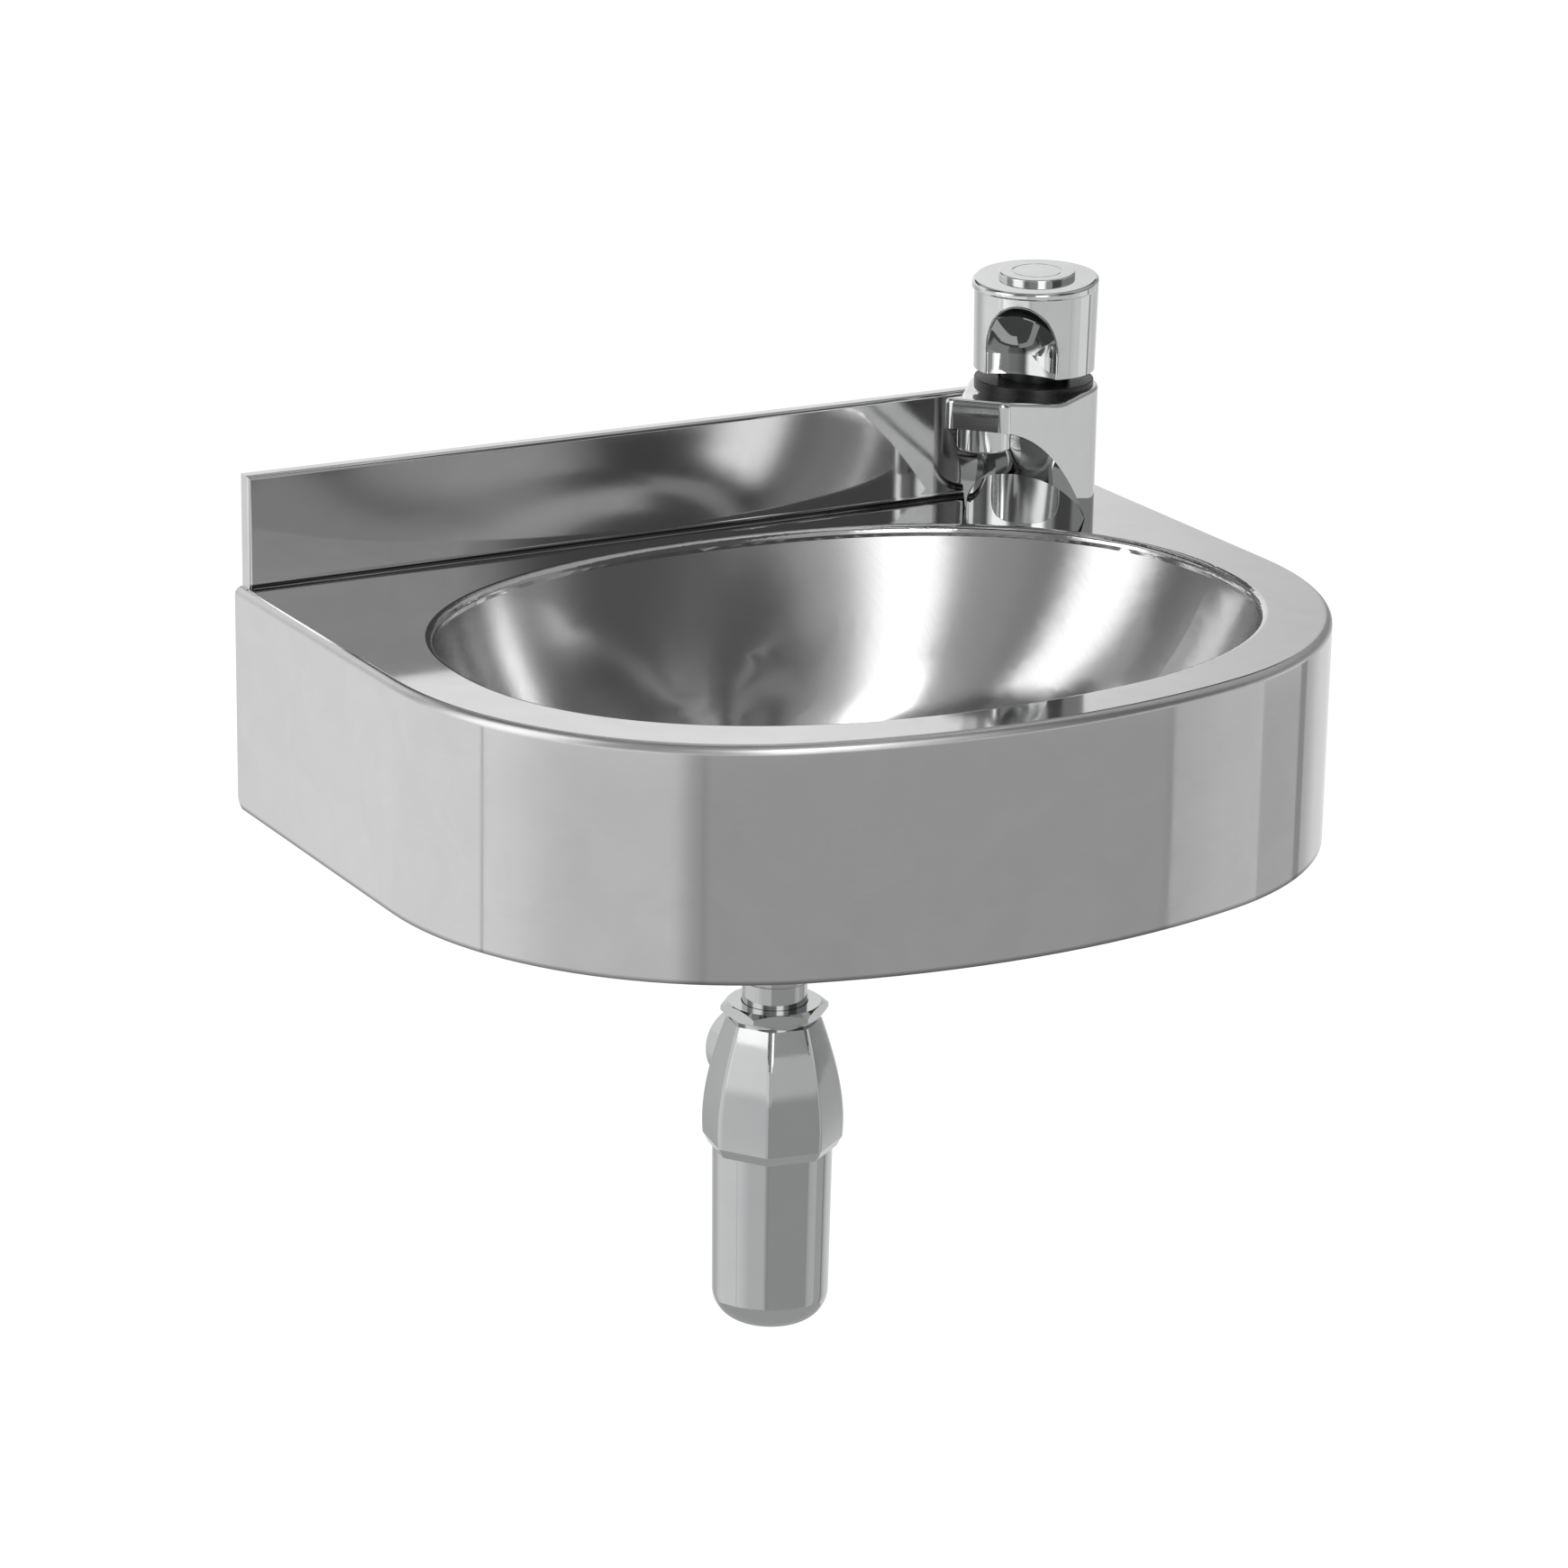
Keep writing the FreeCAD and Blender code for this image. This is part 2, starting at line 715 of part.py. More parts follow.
def head_screw():
    screw = cylinder(screw_head_radius, screw_seat, screw_seat + screw_head_height)
    return screw.fuse(cylinder(screw_radius, screw_seat - screw_length, screw_seat))


def spindle():
    foot = neck_top - spindle_depth
    stem = cylinder(spindle_radius, foot, head_ceiling)
    stem = stem.fuse(cylinder(spindle_flange_radius, spindle_shoulder, head_ceiling))
    return stem.cut(cylinder(screw_radius, screw_seat - screw_length, head_ceiling))


def cartridge():
    block = cylinder(cartridge_radius - seat_clearance, cartridge_floor, nut_bottom)
    block = block.fuse(cylinder(neck_radius, nut_bottom, neck_top))
    well = neck_top - spindle_depth - spindle_well
    block = block.cut(cylinder(spindle_radius + running_clearance, well, neck_top))
    top = neck_top - seal_depth
    groove = spindle_radius + running_clearance + 2 * seal_section + seat_clearance
    return block.cut(cylinder(groove, top - 2 * seal_section - seat_clearance, top))


def spindle_seal():
    middle = spindle_radius + running_clearance + seal_section
    level = neck_top - seal_depth - seal_section - seat_clearance / 2
    return Part.makeTorus(middle, seal_section, Vector(0, 0, level))


def cartridge_nut():
    return ring(cartridge_radius - thread_clearance, neck_radius + pass_clearance, nut_bottom, body_height)


def mixing_sleeve():
    top = sleeve_bottom + sleeve_height
    outer = head_bore_radius - running_clearance
    sleeve = cylinder(outer, sleeve_bottom, top)
    sleeve = sleeve.fuse(keys(sleeve_bottom, top, 0.0))
    return sleeve.cut(cylinder(neck_radius + running_clearance, sleeve_bottom, top))


def return_spring():
    # One wire wound between the cartridge neck and the spindle flange.
    low = neck_top + spring_wire + seat_clearance
    high = spindle_shoulder - spring_wire - seat_clearance
    pitch = (high - low) / spring_turns
    path = Part.makeHelix(pitch, high - low, spring_radius)
    path.translate(up * low)
    section = Part.Wire([Part.Circle(Vector(spring_radius, 0, low), Vector(0, 1, 0), spring_wire).toShape()])
    return path.makePipeShell([section], True, True)


def base_gasket():
    inner = gasket_groove_radius + seat_clearance
    outer = gasket_groove_radius + gasket_groove_width - seat_clearance
    return ring(outer, inner, 0, gasket_thickness)


def shank():
    outer = shank_radius - thread_clearance
    return ring(outer, shank_radius - shank_wall, -shank_length, shank_engagement)


def clamp_ring(radius, top, thickness):
    return ring(radius, shank_radius + pass_clearance, top - thickness, top)


def shank_nut():
    top = deck_underside - rubber_thickness - washer_thickness
    nut = hexagon(shank_nut_flats, top - shank_nut_height, top)
    return nut.cut(cylinder(shank_radius, top - shank_nut_height, top))


def inlet_block():
    bottom = -shank_length
    block = cylinder(shank_radius - shank_wall - thread_clearance, bottom, bottom + inlet_block_height)
    for side in (-1, 1):
        hole = cylinder(inlet_hole_radius, bottom, bottom + inlet_block_height, side * inlet_spacing / 2)
        block = block.cut(hole)
    return block


# Waste

def waste_grid():
    grid = cylinder(grid_radius, grid_bottom, grid_top)
    grid = grid.makeFillet(grid_edge_radius, edges_at(grid, grid_top))
    for radius, count in zip(grid_ring_radii, grid_ring_counts):
        for x, y in around(count, radius):
            grid = grid.cut(cylinder(grid_hole_radius, grid_bottom, grid_top, x, y))
    return grid.cut(countersink())


def countersink():
    return Part.makeCone(waste_screw_radius, waste_screw_head_radius, grid_thickness, up * grid_bottom)


def waste_screw():
    foot = waste_top - waste_boss_depth - waste_boss_height
    return countersink().fuse(cylinder(waste_screw_radius, foot, grid_bottom))


def waste_body():
    inner = waste_tail_radius - waste_tail_wall
    body = cylinder(grid_radius, waste_top - waste_flange_thickness, waste_top)
    body = body.fuse(cylinder(waste_tail_radius, waste_foot, waste_top))
    body = body.cut(cylinder(inner, waste_foot, waste_top))
    boss_top = waste_top - waste_boss_depth
    boss_foot = boss_top - waste_boss_height
    reach = inner + waste_tail_wall / 2
    bridge = Part.makeBox(2 * reach, waste_arm_width, waste_boss_height,
                          Vector(-reach, -waste_arm_width / 2, boss_foot))
    bridge = bridge.fuse(cylinder(waste_boss_radius, boss_foot, boss_top))
    bridge = bridge.cut(cylinder(waste_screw_radius, boss_foot, boss_top))
    return body.fuse(bridge)


def tail_nut():
    top = waste_foot + tail_nut_engagement
    bottom = flange_bottom - tail_nut_shoulder
    nut = hexagon(tail_nut_flats, bottom, top)
    nut = nut.cut(cylinder(waste_tail_radius + thread_clearance, flange_bottom, top))
    return nut.cut(cylinder(pipe_radius + pass_clearance, bottom, flange_bottom))


def tail_seal():
    return ring(waste_tail_radius, pipe_radius - pipe_wall, flange_top, waste_foot)


def tail_pipe():
    pipe = cylinder(pipe_radius, pipe_foot, flange_top)
    pipe = pipe.fuse(cylinder(waste_tail_radius, flange_bottom, flange_top))
    bead_top = pipe_bead_level + pipe_bead_height
    bead = cylinder(pipe_bead_radius, pipe_bead_level, bead_top)
    bead = bead.makeFillet(pipe_bead_edge, edges_at(bead, pipe_bead_level) + edges_at(bead, bead_top))
    pipe = pipe.fuse(bead)
    return pipe.cut(cylinder(pipe_radius - pipe_wall, pipe_foot, flange_top))


# Bottle trap

def trap_nut():
    nut = hexagon(trap_nut_flats, trap_nut_bottom, trap_nut_top, trap_nut_turn)
    nut = nut.cut(cylinder(trap_neck_radius + thread_clearance, trap_nut_bottom, trap_seal_top))
    return nut.cut(cylinder(pipe_radius + pass_clearance, trap_seal_top, trap_nut_top))


def trap_seal():
    return ring(trap_neck_radius, pipe_radius + seat_clearance, neck_level, trap_seal_top)


def bell_wire(radius, drop):
    return rounded_wire(bell_sides, radius, bell_top - drop, bell_turn, bell_corner_radius)


def trap_body():
    # Eight-sided bell, lofted so that each side swells, with a threaded neck and the outlet boss.
    steps = [(bell_top_radius, 0), (bell_upper_radius, bell_upper_drop),
             (bell_lower_radius, bell_lower_drop), (bell_skirt_radius, bell_skirt_drop)]
    bell = Part.makeLoft([bell_wire(radius, drop) for radius, drop in steps], True, False)
    skirt = [bell_wire(bell_skirt_radius, bell_skirt_drop), bell_wire(bell_foot_radius, bell_height)]
    bell = bell.fuse(Part.makeLoft(skirt, True, True))
    bell = bell.fuse(cylinder(trap_neck_radius, bell_top, neck_level))
    boss = outlet_cylinder(outlet_radius, 0, outlet_reach)
    rim = [e for e in boss.Edges if abs(e.CenterOfMass.y - outlet_reach) < seat_clearance]
    bell = bell.fuse(boss.makeFillet(outlet_edge_radius, rim))
    bell = bell.cut(cylinder(pipe_radius + pass_clearance, bell_top - bell_roof, neck_level))
    bell = bell.cut(cylinder(bell_cavity_radius, bell_foot, bell_top - bell_roof))
    seal_top = cup_seal_level + cup_seal_thickness
    bell = bell.cut(cylinder(cup_thread_radius + thread_clearance, bell_foot, seal_top))
    bell = bell.cut(outlet_cylinder(outlet_passage_radius, 0, outlet_seal_start))
    return bell.cut(outlet_cylinder(outlet_seal_radius, outlet_seal_start, outlet_reach))


def outlet_cylinder(radius, start, end):
    return Part.makeCylinder(radius, end - start, Vector(0, start, outlet_level), Vector(0, 1, 0))


def outlet_ring(start, end):
    outer = outlet_cylinder(outlet_seal_radius - thread_clearance, start, end)
    return outer.cut(outlet_cylinder(outlet_bore_radius, start, end))


def trap_cup():
    # Straight threaded collar, then a slow taper to a rounded base.
    inner = cup_thread_radius - 2 * cup_wall
    floor = cup_bottom + cup_wall
    outside = revolved([(0, cup_bottom), (cup_foot_radius, cup_bottom), (cup_radius, bell_foot),
                        (cup_thread_radius, bell_foot), (cup_thread_radius, cup_seal_level),
                        (0, cup_seal_level)])
    outside = outside.makeFillet(cup_bottom_radius, edges_at(outside, cup_bottom))
    inside = revolved([(0, floor), (cup_foot_radius - cup_wall, floor), (inner, bell_foot),
                       (inner, cup_seal_level), (0, cup_seal_level)])
    inside = inside.makeFillet(cup_bottom_radius - cup_wall, edges_at(inside, floor))
    return outside.cut(inside)


def cup_seal():
    inner = cup_thread_radius - 2 * cup_wall
    return ring(cup_thread_radius, inner, cup_seal_level, cup_seal_level + cup_seal_thickness)


os.makedirs("parts", exist_ok=True)

save("basin_pressing", basin_pressing())
save("upstand", upstand())
save("bowl", bowl())
save("rear_rail", rear_rail())
save("gusset_left", gusset(-1))
save("gusset_right", gusset(1))

tap_pieces = {
    "tap_body": tap_body(),
    "glide_collar": glide_collar(),
    "push_head": push_head(),
    "head_disc": head_disc(),
    "head_screw": head_screw(),
    "spindle": spindle(),
    "return_spring": return_spring(),
    "mixing_sleeve": mixing_sleeve(),
    "cartridge": cartridge(),
    "cartridge_nut": cartridge_nut(),
    "spindle_seal": spindle_seal(),
    "aerator_housing": aerator_housing(),
    "aerator_insert": aerator_insert(),
    "aerator_gasket": aerator_gasket(),
    "base_gasket": base_gasket(),
    "shank": shank(),
    "shank_rubber": clamp_ring(washer_radius, deck_underside, rubber_thickness),
    "shank_washer": clamp_ring(washer_radius, deck_underside - rubber_thickness, washer_thickness),
    "shank_nut": shank_nut(),
    "inlet_block": inlet_block(),
}
for name, piece in tap_pieces.items():
    save(name, on_tap(piece))

drain_pieces = {
    "waste_grid": waste_grid(),
    "waste_screw": waste_screw(),
    "waste_body": waste_body(),
    "waste_gasket_top": ring(grid_radius - grid_edge_radius, waste_gasket_inner, bowl_floor, grid_bottom),
    "waste_gasket_bottom": ring(grid_radius, waste_gasket_inner, waste_top, bowl_underside),
    "tail_nut": tail_nut(),
    "tail_seal": tail_seal(),
    "tail_pipe": tail_pipe(),
    "trap_nut": trap_nut(),
    "trap_seal": trap_seal(),
    "trap_body": trap_body(),
    "trap_cup": trap_cup(),
    "cup_seal": cup_seal(),
    "outlet_seal": outlet_ring(outlet_seal_start, outlet_bush_start),
    "outlet_bush": outlet_ring(outlet_bush_start, outlet_reach),
}
for name, piece in drain_pieces.items():
    save(name, on_drain(piece))
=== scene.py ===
import math

import bmesh
import bpy
from mathutils import Matrix, Vector


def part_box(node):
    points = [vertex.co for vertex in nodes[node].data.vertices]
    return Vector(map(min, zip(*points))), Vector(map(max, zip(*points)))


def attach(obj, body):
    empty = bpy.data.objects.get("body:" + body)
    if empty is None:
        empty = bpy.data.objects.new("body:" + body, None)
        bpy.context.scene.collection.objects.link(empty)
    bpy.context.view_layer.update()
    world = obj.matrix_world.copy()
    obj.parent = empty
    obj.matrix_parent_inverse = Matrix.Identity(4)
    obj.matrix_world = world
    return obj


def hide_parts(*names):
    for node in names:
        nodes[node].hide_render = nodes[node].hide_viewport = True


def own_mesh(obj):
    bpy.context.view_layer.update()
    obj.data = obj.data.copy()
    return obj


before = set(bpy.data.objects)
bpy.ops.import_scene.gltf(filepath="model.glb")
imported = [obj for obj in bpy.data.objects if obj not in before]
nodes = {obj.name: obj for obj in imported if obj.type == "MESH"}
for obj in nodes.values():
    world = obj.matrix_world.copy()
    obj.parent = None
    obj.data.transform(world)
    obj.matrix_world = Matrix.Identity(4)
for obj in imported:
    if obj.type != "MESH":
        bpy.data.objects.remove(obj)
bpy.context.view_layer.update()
scene = bpy.context.scene
mm = 0.001
noiseLow, noiseHigh = 0.3, 0.7  # noise seldom leaves this range
grainDepth = 0.1 * mm  # height of the grain that bumps a finish


def linear(hexColour):  # sRGB hex to the linear colour that shaders want
    channels = [int(hexColour[i:i + 2], 16) / 255 for i in (1, 3, 5)]
    return [c / 12.92 if c <= 0.04045 else ((c + 0.055) / 1.055) ** 2.4 for c in channels] + [1.0]


def addNode(tree, kind, settings=(), inputs=(), links=()):
    node = tree.nodes.new(kind)
    for name, value in dict(settings).items():
        setattr(node, name, value)
    for name, value in dict(inputs).items():
        node.inputs[name].default_value = value
    for name, source in dict(links).items():
        tree.links.new(source, node.inputs[name])
    return node


def newMaterial(name):
    material = bpy.data.materials.new(name)
    material.use_nodes = True
    tree = material.node_tree
    tree.nodes.clear()
    return material, tree


def dress(material, names):
    for name in names:
        data = nodes[name].data
        data.materials.clear()
        data.materials.append(material)


# rolled stainless sheet, mirror polished: clear reflections, dulled a little where the buffing wheel left haze
sheet = {"bright": "#d8d8d8", "dull": "#cacaca", "roughness": 0.045,  # lengths and heights in mm
         "haze": 0.05, "hazeSize": 30, "hazeDetail": 5, "hazeHigh": 0.75, "smear": 1.2,
         "buffLength": 60, "buffWidth": 1.5, "buffDetail": 3, "buffShare": 0.2,
         "wave": 0.09, "waveSize": 70, "waveDetail": 1, "waveDepth": 1,
         # painted shade: darker band along the apron's lower edge
         "lowEdgeShade": "#8c8c8c", "lowEdgeShadeFrom": -44.8, "lowEdgeShadeTo": -46.4,
         "edgeRoughness": 0.34, "edgeFoot": (57.6, 58.6), "edgeTop": (61.96, 61.6),
         "deckCentre": (0, -174, 0), "deckReach": (216.5, 162, 1000), "deckFade": 0.03,
         # painted shade: dark line in the crease at the foot of the upstand
         "root": (0.0, -7.9, 62.9), "rootColour": "#3a3a3a", "rootFrom": 1.7, "rootTo": 0.8,
         "wornBy": ("basin_pressing", "upstand")}


def makePolishedSheet(spec):
    material, tree = newMaterial("polishedStainlessSheet")
    place = addNode(tree, "ShaderNodeTexCoord").outputs["Object"]
    haze = addNode(tree, "ShaderNodeTexNoise",
                   inputs={"Scale": 1 / (spec["hazeSize"] * mm), "Detail": spec["hazeDetail"],
                           "Distortion": spec["smear"]}, links={"Vector": place})
    buffSize = [1 / (spec[key] * mm) for key in ("buffLength", "buffLength", "buffWidth")]
    along = addNode(tree, "ShaderNodeMapping", inputs={"Scale": buffSize}, links={"Vector": place})
    buff = addNode(tree, "ShaderNodeTexNoise", inputs={"Scale": 1.0, "Detail": spec["buffDetail"]},
                   links={"Vector": along.outputs["Vector"]})  # marks along the sheet, drawn coarse enough to show
    marks = addNode(tree, "ShaderNodeMix", inputs={"Factor": spec["buffShare"]},
                    links={"A": haze.outputs["Fac"], "B": buff.outputs["Fac"]})
    rough = addNode(tree, "ShaderNodeMapRange",
                    inputs={"From Min": noiseLow, "From Max": spec["hazeHigh"], "To Min": spec["roughness"],
                            "To Max": spec["roughness"] + spec["haze"]},
                    links={"Value": marks.outputs["Result"]})
    colour = addNode(tree, "ShaderNodeMixRGB",
                     inputs={"Color1": linear(spec["bright"]), "Color2": linear(spec["dull"])},
                     links={"Fac": marks.outputs["Result"]})
    height = addNode(tree, "ShaderNodeSeparateXYZ", links={"Vector": place})
    deck = addNode(tree, "ShaderNodeMapping", {"vector_type": "TEXTURE"},
                   {"Location": [v * mm for v in spec["deckCentre"]], "Scale": [v * mm for v in spec["deckReach"]]},
                   {"Vector": place})  # length 1 on an oval between the bowl's rim and the outer edge
    reach = addNode(tree, "ShaderNodeVectorMath", {"operation": "LENGTH"}, links={0: deck.outputs["Vector"]})
    beyond = addNode(tree, "ShaderNodeMapRange", inputs={"From Min": 1.0, "From Max": 1 + spec["deckFade"]},
                     links={"Value": reach.outputs["Value"]})
    edge = beyond.outputs["Result"]
    for low, high in (spec["edgeFoot"], spec["edgeTop"]):
        band = addNode(tree, "ShaderNodeMapRange", inputs={"From Min": low * mm, "From Max": high * mm},
                       links={"Value": height.outputs["Z"]})
        edge = addNode(tree, "ShaderNodeMath", {"operation": "MULTIPLY"},
                       links={0: edge, 1: band.outputs["Result"]}).outputs["Value"]
    dressed = addNode(tree, "ShaderNodeMix", inputs={"B": spec["edgeRoughness"]},
                      links={"Factor": edge, "A": rough.outputs["Result"]})  # edge rubbed dull by hand
    lowEdgeShadeMask = addNode(tree, "ShaderNodeMapRange",
                  inputs={"From Min": spec["lowEdgeShadeFrom"] * mm, "From Max": spec["lowEdgeShadeTo"] * mm},
                  links={"Value": height.outputs["Z"]})  # painted shade: a darker band along the apron's lower edge
    edged = addNode(tree, "ShaderNodeMixRGB", inputs={"Color2": linear(spec["lowEdgeShade"])},
                    links={"Fac": lowEdgeShadeMask.outputs["Result"], "Color1": colour.outputs["Color"]})
    across = addNode(tree, "ShaderNodeVectorMath", {"operation": "MULTIPLY"}, {1: (0, 1, 1)}, {0: place})
    apart = addNode(tree, "ShaderNodeVectorMath", {"operation": "DISTANCE"}, {1: [v * mm for v in spec["root"]]},
                    {0: across.outputs["Vector"]})
    root = addNode(tree, "ShaderNodeMapRange",
                   inputs={"From Min": spec["rootFrom"] * mm, "From Max": spec["rootTo"] * mm},
                   links={"Value": apart.outputs["Value"]})  # painted shade: a dark line in the crease at the foot of the upstand
    shaded = addNode(tree, "ShaderNodeMixRGB", inputs={"Color2": linear(spec["rootColour"])},
                     links={"Fac": root.outputs["Result"], "Color1": edged.outputs["Color"]})
    wave = addNode(tree, "ShaderNodeTexNoise",
                   inputs={"Scale": 1 / (spec["waveSize"] * mm), "Detail": spec["waveDetail"]},
                   links={"Vector": place})
    bump = addNode(tree, "ShaderNodeBump", inputs={"Strength": spec["wave"], "Distance": spec["waveDepth"] * mm},
                   links={"Height": wave.outputs["Fac"]})  # sheet is never quite flat
    shader = addNode(tree, "ShaderNodeBsdfPrincipled", inputs={"Metallic": 1.0},
                     links={"Base Color": shaded.outputs["Color"], "Roughness": dressed.outputs["Result"],
                            "Normal": bump.outputs["Normal"]})
    addNode(tree, "ShaderNodeOutputMaterial", links={"Surface": shader.outputs["BSDF"]})
    return material


# drawn bowl, satin finished by a pad that turns about the drain: reflections smear into streaks up the wall
bowlSatin = {"bright": "#d2d2d2", "dull": "#cdcdcd", "roughness": 0.13, "grit": 0.015, "anisotropy": 0.9,
             "drain": (0.0, -0.107, 0.0), "lineLength": 60, "linePitch": 0.9, "lineDetail": 3, "meanRadius": 140,
             "wornBy": ("bowl",)}


def makeBowlSatin(spec):
    material, tree = newMaterial("satinStainlessBowl")
    place = addNode(tree, "ShaderNodeTexCoord").outputs["Object"]
    arm = addNode(tree, "ShaderNodeVectorMath", {"operation": "SUBTRACT"}, {1: spec["drain"]}, {0: place})
    flat = addNode(tree, "ShaderNodeVectorMath", {"operation": "MULTIPLY"}, {1: (1, 1, 0)}, {0: arm.outputs["Vector"]})
    around = addNode(tree, "ShaderNodeVectorMath", {"operation": "CROSS_PRODUCT"}, {1: (0, 0, 1)},
                     {0: arm.outputs["Vector"]})  # the way the pad ran
    heading = addNode(tree, "ShaderNodeVectorMath", {"operation": "NORMALIZE"}, links={0: flat.outputs["Vector"]})
    turns = addNode(tree, "ShaderNodeVectorMath", {"operation": "SCALE"},
                    {"Scale": spec["meanRadius"] / spec["lineLength"]}, {0: heading.outputs["Vector"]})
    reach = addNode(tree, "ShaderNodeVectorMath", {"operation": "LENGTH"}, links={0: arm.outputs["Vector"]})
    down = addNode(tree, "ShaderNodeMath", {"operation": "DIVIDE"}, {1: spec["linePitch"] * mm},
                   {0: reach.outputs["Value"]})
    lift = addNode(tree, "ShaderNodeCombineXYZ", links={"Z": down.outputs["Value"]})
    path = addNode(tree, "ShaderNodeVectorMath", {"operation": "ADD"},
                   links={0: turns.outputs["Vector"], 1: lift.outputs["Vector"]})
    lines = addNode(tree, "ShaderNodeTexNoise", inputs={"Scale": 1.0, "Detail": spec["lineDetail"]},
                    links={"Vector": path.outputs["Vector"]})  # grit lines, drawn coarse enough to show
    rough = addNode(tree, "ShaderNodeMapRange",
                    inputs={"From Min": noiseLow, "From Max": noiseHigh, "To Min": spec["roughness"],
                            "To Max": spec["roughness"] + spec["grit"]},
                    links={"Value": lines.outputs["Fac"]})
    colour = addNode(tree, "ShaderNodeMixRGB",
                     inputs={"Color1": linear(spec["bright"]), "Color2": linear(spec["dull"])},
                     links={"Fac": lines.outputs["Fac"]})
    shader = addNode(tree, "ShaderNodeBsdfPrincipled",
                     inputs={"Metallic": 1.0, "Anisotropic": spec["anisotropy"]},
                     links={"Base Color": colour.outputs["Color"], "Roughness": rough.outputs["Result"],
                            "Tangent": around.outputs["Vector"]})
    addNode(tree, "ShaderNodeOutputMaterial", links={"Surface": shader.outputs["BSDF"]})
    return material


# the other finishes share one recipe: two colours and two roughnesses mixed by a stretched grain, which also bumps
finishes = {  # grain in mm along X, Y and Z
    # chromium plate on polished brass: near mirror, dark and light bands, a slight wave from hand polishing
    "chromePlate": {"colours": ("#dadbdb", "#d2d3d3"), "roughness": (0.018, 0.05), "metallic": 1.0,
                    "grain": (14, 14, 14), "detail": 3.0, "bump": 0.03,
                    "wornBy": ("tap_body", "push_head", "head_disc", "aerator_housing", "waste_grid", "waste_screw")},
    # chromium plate on drawn and cast trap pieces: softer, since the brass under it was only brushed
    "dullChromePlate": {"colours": ("#c6c7c7", "#bfc0c1"), "roughness": (0.035, 0.09), "metallic": 1.0,
                        "grain": (14, 14, 14), "detail": 4.0, "bump": 0.04,
                        "wornBy": ("tail_nut", "tail_pipe", "trap_nut", "trap_body", "trap_cup", "outlet_bush")},
    # mill finished sheet behind the basin, left as rolled: grey and even, with lines along the roll
    "milledStainlessSheet": {"colours": ("#b9b9b8", "#adadac"), "roughness": (0.24, 0.36), "metallic": 1.0,
                             "grain": (40, 40, 1.2), "detail": 4.0, "bump": 0.06,
                             "wornBy": ("rear_rail", "gusset_left", "gusset_right")},
    # moulded acetal: deep black with the soft sheen of a spark eroded mould
    "mouldedAcetal": {"colours": ("#0d0d0e", "#141415"), "roughness": (0.28, 0.42), "metallic": 0.0,
                      "grain": (0.8, 0.8, 0.8), "detail": 2.0, "bump": 0.12,
                      "wornBy": ("glide_collar", "mixing_sleeve", "aerator_insert")},
    # turned brass, not plated: warm yellow with the tool's rings round each piece
    "turnedBrass": {"colours": ("#c9a860", "#b8944c"), "roughness": (0.2, 0.34), "metallic": 1.0,
                    "grain": (30, 30, 0.5), "detail": 3.0, "bump": 0.15,
                    "wornBy": ("cartridge", "cartridge_nut", "shank", "shank_nut", "inlet_block", "waste_body")},
    # drawn spring steel and turned screws: bright grey, slightly mottled
    "drawnSteel": {"colours": ("#b4b5b7", "#a3a4a6"), "roughness": (0.16, 0.28), "metallic": 1.0,
                   "grain": (3, 3, 1), "detail": 3.0, "bump": 0.08,
                   "wornBy": ("return_spring", "spindle", "head_screw", "shank_washer")},
    # moulded EPDM rubber: matt black with a faint bloom
    "mouldedRubber": {"colours": ("#161616", "#202020"), "roughness": (0.55, 0.75), "metallic": 0.0,
                      "grain": (1.2, 1.2, 1.2), "detail": 4.0, "bump": 0.2,
                      "wornBy": ("spindle_seal", "aerator_gasket", "base_gasket", "shank_rubber", "waste_gasket_top",
                                 "waste_gasket_bottom", "tail_seal", "trap_seal", "cup_seal", "outlet_seal")},
}


def makeFinish(name, spec):
    material, tree = newMaterial(name)
    place = addNode(tree, "ShaderNodeTexCoord").outputs["Object"]
    sized = addNode(tree, "ShaderNodeMapping", inputs={"Scale": [1 / (size * mm) for size in spec["grain"]]},
                    links={"Vector": place})
    grain = addNode(tree, "ShaderNodeTexNoise", inputs={"Scale": 1.0, "Detail": spec["detail"]},
                    links={"Vector": sized.outputs["Vector"]})
    smooth, coarse = spec["roughness"]
    rough = addNode(tree, "ShaderNodeMapRange",
                    inputs={"From Min": noiseLow, "From Max": noiseHigh, "To Min": smooth, "To Max": coarse},
                    links={"Value": grain.outputs["Fac"]})
    fresh, worn = spec["colours"]
    colour = addNode(tree, "ShaderNodeMixRGB", inputs={"Color1": linear(fresh), "Color2": linear(worn)},
                     links={"Fac": grain.outputs["Fac"]})
    bump = addNode(tree, "ShaderNodeBump", inputs={"Strength": spec["bump"], "Distance": grainDepth},
                   links={"Height": grain.outputs["Fac"]})
    shader = addNode(tree, "ShaderNodeBsdfPrincipled", inputs={"Metallic": spec["metallic"]},
                     links={"Base Color": colour.outputs["Color"], "Roughness": rough.outputs["Result"],
                            "Normal": bump.outputs["Normal"]})
    addNode(tree, "ShaderNodeOutputMaterial", links={"Surface": shader.outputs["BSDF"]})
    return material


dress(makePolishedSheet(sheet), sheet["wornBy"])
dress(makeBowlSatin(bowlSatin), bowlSatin["wornBy"])
for name, spec in finishes.items():
    dress(makeFinish(name, spec), spec["wornBy"])
print("finishes on")

# coil inside the tap, in place of the stiff CAD one
spring = {"wireRadius": 0.8, "coilRadius": 8.0, "turns": 5, "stepsPerTurn": 32, "sides": 12, "travel": 4.5}


